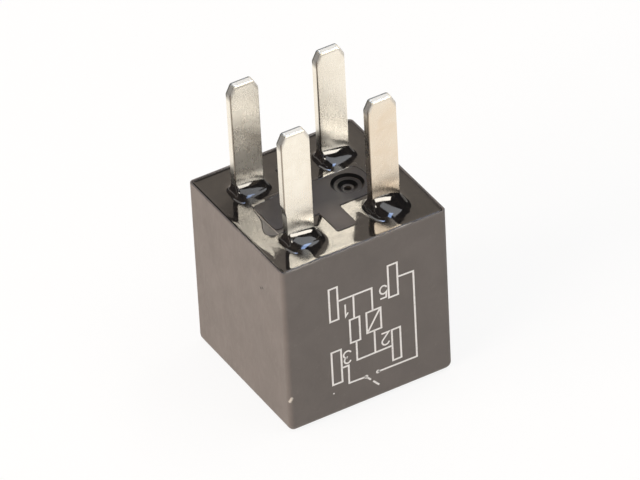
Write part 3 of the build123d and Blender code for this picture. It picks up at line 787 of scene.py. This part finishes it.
def stroke(points, width, closed=False):
    """Outline of a mitred line: (left side, right side) points in the plane of the face."""
    p = [np.array(q, float) for q in points]
    count = len(p)
    left, right = [], []
    for i in range(count):
        before = p[i - 1] if (i > 0 or closed) else None
        after = p[(i + 1) % count] if (i < count - 1 or closed) else None
        d1 = (p[i] - before) / np.linalg.norm(p[i] - before) if before is not None else None
        d2 = (after - p[i]) / np.linalg.norm(after - p[i]) if after is not None else None
        if d1 is None:
            d1 = d2
        if d2 is None:
            d2 = d1
        n1 = np.array((-d1[1], d1[0]))
        n2 = np.array((-d2[1], d2[0]))
        mitre = n1 + n2
        mitre /= np.linalg.norm(mitre)
        reach = width / 2 / max(float(mitre @ n1), mitre_limit)
        left.append(p[i] + mitre * reach)
        right.append(p[i] - mitre * reach)
    return left, right


class Ink:
    """Collects strokes and dots into one mesh of thin closed plates."""

    def __init__(self):
        self.points, self.faces = [], []

    def plate(self, left, right, closed):
        """A thin plate between the two sides of a line, from just inside the face to the ink's surface."""
        count = len(left)
        first = len(self.points)
        for y in (front_face + ink_root, front_face - ink_height):
            for x, z in list(left) + list(right):
                self.points.append((x, y, z))
        back, face = first, first + 2 * count
        spans = range(count if closed else count - 1)
        for i in spans:
            j = (i + 1) % count
            self.faces.append((face + i, face + j, face + count + j, face + count + i))
            self.faces.append((back + i, back + count + i, back + count + j, back + j))
            self.faces.append((back + i, back + j, face + j, face + i))
            self.faces.append((back + count + j, back + count + i, face + count + i, face + count + j))
        if not closed:
            self.faces.append((back, face, face + count, back + count))
            end = count - 1
            self.faces.append((back + end, back + count + end, face + count + end, face + end))

    def line(self, points, width=line_width, closed=False):
        self.plate(*stroke(points, width, closed), closed)

    def box(self, x1, z1, x2, z2):
        self.line([(x1, z1), (x2, z1), (x2, z2), (x1, z2)], closed=True)

    def dot(self, x, z, radius):
        first = len(self.points)
        steps = dot_steps
        for y in (front_face + ink_root, front_face - ink_height):
            for s in range(steps):
                a = 2 * math.pi * s / steps
                self.points.append((x + radius * math.cos(a), y, z + radius * math.sin(a)))
        self.faces.append(tuple(first + steps + s for s in range(steps)))
        self.faces.append(tuple(first + steps - 1 - s for s in range(steps)))
        for s in range(steps):
            t = (s + 1) % steps
            self.faces.append((first + s, first + t, first + steps + t, first + steps + s))

    def digit(self, points, x, z):
        """The stroke of a unit-square figure, turned half round, centred on x and z."""
        turned = [(x - (u - 0.5) * digit_width, z - (v - 0.5) * digit_height) for u, v in points]
        self.line(turned, digit_line_width)


def arc(cx, cy, rx, ry, start, end, steps):
    """Points along an ellipse's arc, angles in degrees."""
    return [
        (cx + rx * math.cos(math.radians(start + (end - start) * s / steps)),
         cy + ry * math.sin(math.radians(start + (end - start) * s / steps)))
        for s in range(steps + 1)
    ]


# Each figure is one stroke in a unit square
figure_one = [(0.22, 0.74), (0.52, 1.0), (0.52, 0.0)]
figure_two = arc(0.5, 0.72, 0.42, 0.28, 165, -30, 14) + [(0.08, 0.0), (0.95, 0.0)]
figure_three = arc(0.48, 0.75, 0.38, 0.25, 160, -80, 12) + arc(0.48, 0.27, 0.44, 0.27, 80, -160, 14)
figure_five = [(0.88, 1.0), (0.2, 1.0), (0.14, 0.55)] + arc(0.48, 0.33, 0.42, 0.33, 125, -155, 16)

# The diagram, by x and z on the face: the four terminals, the resistor and coil between their wires, the open
# contact below, and the terminals' numbers
ink = Ink()
ink.box(-3.75, 10.33, -2.92, 13.8)
ink.box(2.1, 10.46, 3.02, 13.88)
ink.box(2.22, 3.58, 3.06, 6.9)
ink.box(-3.8, 3.5, -2.85, 7.0)
ink.line([(-2.87, 12.25), (0.44, 12.22), (0.44, 9.84)])
ink.line([(-1.38, 12.17), (-1.40, 9.80)])
ink.box(-1.85, 7.25, -0.89, 9.75)
ink.box(-0.2, 7.6, 1.22, 9.8)
ink.line([(1.11, 9.66), (-0.09, 7.74)])
ink.line([(-1.29, 7.2), (-1.3, 5.18), (2.18, 5.2)])
ink.line([(0.52, 7.55), (0.51, 5.28)])
ink.line([(3.06, 12.33), (4.59, 12.28), (4.6, 2.98), (0.67, 3.03)])
ink.line([(-2.76, 4.97), (-2.17, 4.97), (-2.2, 3.04), (-0.49, 2.98)])
ink.dot(0.67, 3.03, 0.19)
ink.dot(-0.49, 2.97, 0.19)
ink.line([(-0.42, 2.87), (-0.06, 2.47)])
ink.line([(0.16, 2.22), (0.74, 1.58)])
ink.digit(figure_one, -2.2, 10.95)
ink.digit(figure_five, 1.57, 11.32)
ink.digit(figure_two, 1.58, 6.24)
ink.digit(figure_three, -2.26, 5.9)
ink.dot(-3.76, 2.57, 0.07)
print_piece = new_piece("printed_diagram", ink.points, ink.faces, white_ink(), smooth=False)
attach(print_piece, "housing")

# Floor and backdrop: a broad pale sheet that keeps a soft shadow, and the share of plain white that camera
# and mirror rays see on it
floor_half_side = 3.0
floor_to_camera = 0.86
floor_to_mirrors = 0.85
floor_signs = ((-1, -1), (1, -1), (1, 1), (-1, 1))
floor_corners = [(sx * floor_half_side, sy * floor_half_side, 0) for sx, sy in floor_signs]
floor_mesh = bpy.data.meshes.new("floor")
floor_mesh.from_pydata(floor_corners, [], [(0, 1, 2, 3)])
floor = bpy.data.objects.new("floor", floor_mesh)
bpy.context.scene.collection.objects.link(floor)


def plain_light(tree, kind, tint, strength=1.0):
    """An Emission or a Background shader of one colour."""
    node = tree.nodes.new("ShaderNode" + kind)
    node.inputs["Color"].default_value = (*tint, 1.0)
    node.inputs["Strength"].default_value = strength
    return node


def shader_mix(tree, amount, first, second):
    """Two shaders mixed: the first at amount 0, the second at amount 1."""
    node = tree.nodes.new("ShaderNodeMixShader")
    for socket, value in zip(node.inputs, (amount, first, second)):
        tree.links.new(value, socket)
    return node.outputs[0]


def floor_paper():
    """Pale paper. Camera and mirror rays see mostly plain white, so the shadow on it stays light."""
    g = Graph("floor_paper")
    fibre = g.noise(0.05, 3.0, 0.6)
    g.set(Base_Color=g.mottled(fibre, (0.80, 0.79, 0.77), (0.83, 0.82, 0.80)), Roughness=0.9)
    path = g.tree.nodes.new("ShaderNodeLightPath")
    to_camera = g.maths("MULTIPLY", path.outputs["Is Camera Ray"], floor_to_camera)
    to_mirrors = g.maths("MULTIPLY", path.outputs["Is Glossy Ray"], floor_to_mirrors)
    camera_light = plain_light(g.tree, "Emission", (1.0, 1.0, 1.0))
    mirror_light = plain_light(g.tree, "Emission", (1.0, 0.945, 0.86))
    mixed = shader_mix(g.tree, to_camera, g.shader.outputs[0], camera_light.outputs[0])
    mixed = shader_mix(g.tree, to_mirrors, mixed, mirror_light.outputs[0])
    g.put(g.output.inputs["Surface"], mixed)
    return g.material


floor_mesh.materials.append(floor_paper())


# World
def make_world():
    """Soft even light on every surface, white to the camera, and in mirrors darker the higher they look."""
    world = bpy.data.worlds.new("studio")
    bpy.context.scene.world = world
    world.use_nodes = True
    tree = world.node_tree
    tree.nodes.clear()
    path = tree.nodes.new("ShaderNodeLightPath")
    direction = tree.nodes.new("ShaderNodeTexCoord")
    heading = tree.nodes.new("ShaderNodeSeparateXYZ")
    tree.links.new(direction.outputs["Generated"], heading.inputs[0])
    fade = tree.nodes.new("ShaderNodeMapRange")
    fade.interpolation_type = "SMOOTHSTEP"
    for name, number in (("From Min", 0.02), ("From Max", 0.2), ("To Min", 1.0), ("To Max", 0.04)):
        fade.inputs[name].default_value = number
    tree.links.new(heading.outputs["Z"], fade.inputs["Value"])
    soft = plain_light(tree, "Background", (1.0, 0.97, 0.95), 0.68)
    mirror = plain_light(tree, "Background", (1.0, 0.95, 0.88))
    white = plain_light(tree, "Background", (1.0, 1.0, 1.0))
    tree.links.new(fade.outputs["Result"], mirror.inputs["Strength"])
    mixed = shader_mix(tree, path.outputs["Is Glossy Ray"], soft.outputs[0], mirror.outputs[0])
    mixed = shader_mix(tree, path.outputs["Is Camera Ray"], mixed, white.outputs[0])
    output = tree.nodes.new("ShaderNodeOutputWorld")
    tree.links.new(mixed, output.inputs["Surface"])


make_world()

# Lamps: soft boxes that all face the middle of the mouth, where the blades leave the resin
lamp_aim = Vector((0.0, 0.0, 17.0 * MM))
lamp_distance = 0.6


def soft_box(name, direction, width, height, radiance, tint, mirror_only=False, in_mirrors=True):
    """A lamp panel in a direction from the object, its sizes in degrees as seen from there.

    With mirror_only it shows in reflections alone. Without in_mirrors it lights surfaces and shows in none.
    """
    data = bpy.data.lights.new(name, "AREA")
    data.shape = "RECTANGLE"
    data.size = 2 * lamp_distance * math.tan(math.radians(width / 2))
    data.size_y = 2 * lamp_distance * math.tan(math.radians(height / 2))
    data.energy = radiance * math.pi * data.size * data.size_y
    data.color = tint
    lamp = bpy.data.objects.new(name, data)
    bpy.context.scene.collection.objects.link(lamp)
    towards = Vector(direction).normalized()
    lamp.location = lamp_aim + towards * lamp_distance
    lamp.rotation_mode = "QUATERNION"
    lamp.rotation_quaternion = (-towards).to_track_quat("-Z", "Y")
    lamp.visible_diffuse = not mirror_only
    lamp.visible_glossy = in_mirrors


soft_box("front_box", (0.382, -0.696, 0.608), 34, 10, 21.0, (1.0, 0.93, 0.82), mirror_only=True)
soft_box("low_front", (0.48, -0.87, 0.08), 50, 24, 5.0, (1.0, 0.95, 0.87), mirror_only=True)
soft_box("top_box", (0.46, -0.15, 0.88), 52, 16, 3.0, (0.95, 0.97, 1.0))
soft_box("top_patch", (-0.08, 0.52, 0.85), 22, 18, 2.5, (1.0, 0.97, 0.93), mirror_only=True)
soft_box("blue_strip", (0.17, 0.29, 0.94), 40, 9, 11.0, (0.42, 0.60, 1.0), mirror_only=True)
soft_box("back_panel", (0.382, 0.74, 0.36), 34, 44, 1.05, (1.0, 0.86, 0.72), mirror_only=True)
soft_box("left_box", (-0.96, -0.06, 0.25), 46, 38, 9.7, (1.0, 0.86, 0.75), in_mirrors=False)

# Camera: a long lens from the front left, above, with its axes as vectors of the object's frame
camera_data = bpy.data.cameras.new("camera")
camera_data.lens = 387.0
camera_data.sensor_width = 36.0
camera_data.clip_start = 0.01
camera_data.clip_end = 20.0
camera = bpy.data.objects.new("camera", camera_data)
bpy.context.scene.collection.objects.link(camera)
bpy.context.scene.camera = camera
right = Vector((0.85917, -0.50986, -0.04321))
up = Vector((0.34014, 0.50601, 0.79263))
backward = Vector((-0.38226, -0.69570, 0.60817))
camera.rotation_mode = "QUATERNION"
camera.rotation_quaternion = Matrix((right, up, backward)).transposed().to_quaternion()
camera.location = Vector((-225.80, -411.07, 371.82)) * MM

bpy.context.scene.view_settings.view_transform = "Standard"
